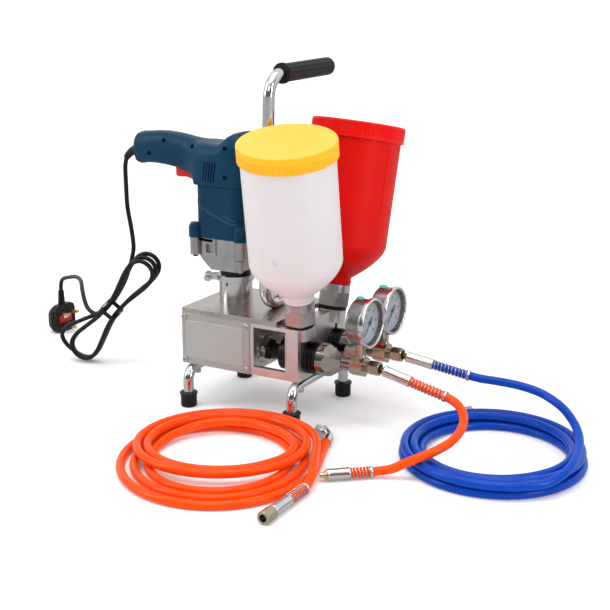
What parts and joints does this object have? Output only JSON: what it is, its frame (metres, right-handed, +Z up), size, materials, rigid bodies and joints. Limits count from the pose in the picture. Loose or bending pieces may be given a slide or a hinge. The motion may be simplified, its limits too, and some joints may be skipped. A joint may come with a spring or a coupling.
{
  "type": "airless paint sprayer",
  "caption": "Drill-driven piston pump on bent tube legs, with tilted hoppers, outlet pressure gauges, a carrying handle, coiled delivery hoses and a hanked mains lead.",
  "frame": {"origin": "on the floor under the middle of the box of the machine, without its cords and hoses", "axes": "+Z up; +X towards the outlets and gauges; -Y towards the gearbox cover side, where the front hopper is"},
  "size_m": [0.9457, 0.5116, 0.4633],
  "materials": {
    "body_alu": "brushed",
    "plate_alu": "satin",
    "black_steel": "satin",
    "polished": "polished",
    "nickel_brass": "plated",
    "steel": "turned",
    "dial": "matt",
    "glass": "clear",
    "teal_rubber": "matt",
    "cast_alu": "cast",
    "blue_plastic": "moulded",
    "red_plastic": "moulded",
    "white_plastic": "milky",
    "yellow_plastic": "moulded",
    "black_rubber": "matt",
    "black_plastic": "moulded",
    "needle_black": "matt",
    "cord_rubber": "satin",
    "orange_hose": "smooth",
    "blue_hose": "smooth",
    "pin_brass": "bright"
  },
  "bodies": {
    "machine": {"gear_housing": "body_alu", "side_plates": "plate_alu", "top_plate": "plate_alu", "gearbox_cover": "plate_alu", "cover_screws": "steel", "pump_block": "body_alu", "barrels": "black_steel", "outlet_cones": "polished", "outlet_tees": "nickel_brass", "gauge_cases": "polished", "gauge_dials": "dial", "gauge_glasses": "glass", "gauge_plugs": "teal_rubber", "bearings": "steel", "drill_collar": "steel", "collar_clamp": "steel", "gear_case": "cast_alu", "drill_screws": "black_steel", "spindle_neck": "black_steel", "motor_case": "blue_plastic", "handle_shell_front": "blue_plastic", "handle_shell_rear": "blue_plastic", "hopper_front": "white_plastic", "hopper_rear": "red_plastic", "hopper_seals": "black_rubber", "handle_tube": "polished", "handle_grip": "black_rubber", "leg_tubes": "polished", "rubber_feet": "black_rubber", "frame_bolts": "steel", "cord_relief": "cord_rubber", "mains_cord": "cord_rubber", "cord_hank": "cord_rubber", "cord_tie": "black_plastic", "plug_body": "black_plastic", "plug_pins": "pin_brass", "orange_hose": "orange_hose", "orange_coil": "orange_hose", "blue_hose": "blue_hose", "blue_coil": "blue_hose", "hose_nuts": "nickel_brass", "hose_ferrules": "polished", "spring_guards": "steel", "hose_elbow": "polished"},
    "drive": {"drive_shaft": "steel", "eccentric_bearing": "steel"},
    "pump_rods": {"crosshead": "steel", "plungers": "polished"},
    "knob_front": {"star_knob_front": "black_plastic"},
    "knob_rear": {"star_knob_rear": "black_plastic"},
    "trigger": {"trigger": "red_plastic"},
    "lock_button": {"lock_button": "black_plastic"},
    "clamp_screw": {"clamp_bolt": "steel"},
    "gauge_hand_front": {"needle_front": "needle_black"},
    "gauge_hand_rear": {"needle_rear": "needle_black"},
    "lid_front": {"lid_front": "yellow_plastic"},
    "lid_rear": {"lid_rear": "red_plastic"},
    "union_front": {"hopper_nut_front": "steel"},
    "union_rear": {"hopper_nut_rear": "steel"}
  },
  "joints": [
    {"name": "shaft_turn", "type": "hinge", "parent": "machine", "child": "drive", "pos_m": [-0.036, 0, 0.1], "axis": [0, 0, 1], "continuous": true},
    {"name": "pump_stroke", "type": "slide", "parent": "machine", "child": "pump_rods", "axis": [1, 0, 0], "range_m": [-0.004, 0.004]},
    {"name": "knob_front_turn", "type": "hinge", "parent": "pump_rods", "child": "knob_front", "pos_m": [0.05, -0.033, 0.087], "axis": [1, 0, 0], "continuous": true},
    {"name": "knob_rear_turn", "type": "hinge", "parent": "pump_rods", "child": "knob_rear", "pos_m": [0.05, 0.033, 0.087], "axis": [1, 0, 0], "continuous": true},
    {"name": "trigger_pull", "type": "slide", "parent": "machine", "child": "trigger", "axis": [0, 0, 1], "range_m": [0, 0.004], "stiffness_N_per_m": 400, "springref_m": -0.002},
    {"name": "lock_press", "type": "slide", "parent": "machine", "child": "lock_button", "axis": [0, -1, 0], "range_m": [0, 0.0025], "stiffness_N_per_m": 300, "springref_m": -0.002},
    {"name": "clamp_screw_turn", "type": "hinge", "parent": "machine", "child": "clamp_screw", "pos_m": [-0.06891, -0.019, 0.172], "axis": [0.5, -0.866, 0], "continuous": true},
    {"name": "gauge_hand_front_turn", "type": "hinge", "parent": "machine", "child": "gauge_hand_front", "pos_m": [0.1875, -0.033, 0.146], "axis": [-1, 0, 0], "range_deg": [0, 270], "stiffness_Nm_per_rad": 0.002, "springref_deg": -17.19},
    {"name": "gauge_hand_rear_turn", "type": "hinge", "parent": "machine", "child": "gauge_hand_rear", "pos_m": [0.1875, 0.033, 0.146], "axis": [-1, 0, 0], "range_deg": [0, 270], "stiffness_Nm_per_rad": 0.002, "springref_deg": -17.19},
    {"name": "lid_front_lift", "type": "slide", "parent": "machine", "child": "lid_front", "axis": [0.0427, -0.2079, 0.9772], "range_m": [0, 0.045]},
    {"name": "lid_rear_lift", "type": "slide", "parent": "machine", "child": "lid_rear", "axis": [0.0427, 0.2079, 0.9772], "range_m": [0, 0.045]},
    {"name": "union_front_turn", "type": "hinge", "parent": "machine", "child": "union_front", "pos_m": [0.0895, -0.033, 0.087], "axis": [0.0427, -0.2079, 0.9772], "continuous": true},
    {"name": "union_rear_turn", "type": "hinge", "parent": "machine", "child": "union_rear", "pos_m": [0.0895, 0.033, 0.087], "axis": [0.0427, 0.2079, 0.9772], "continuous": true}
  ]
}
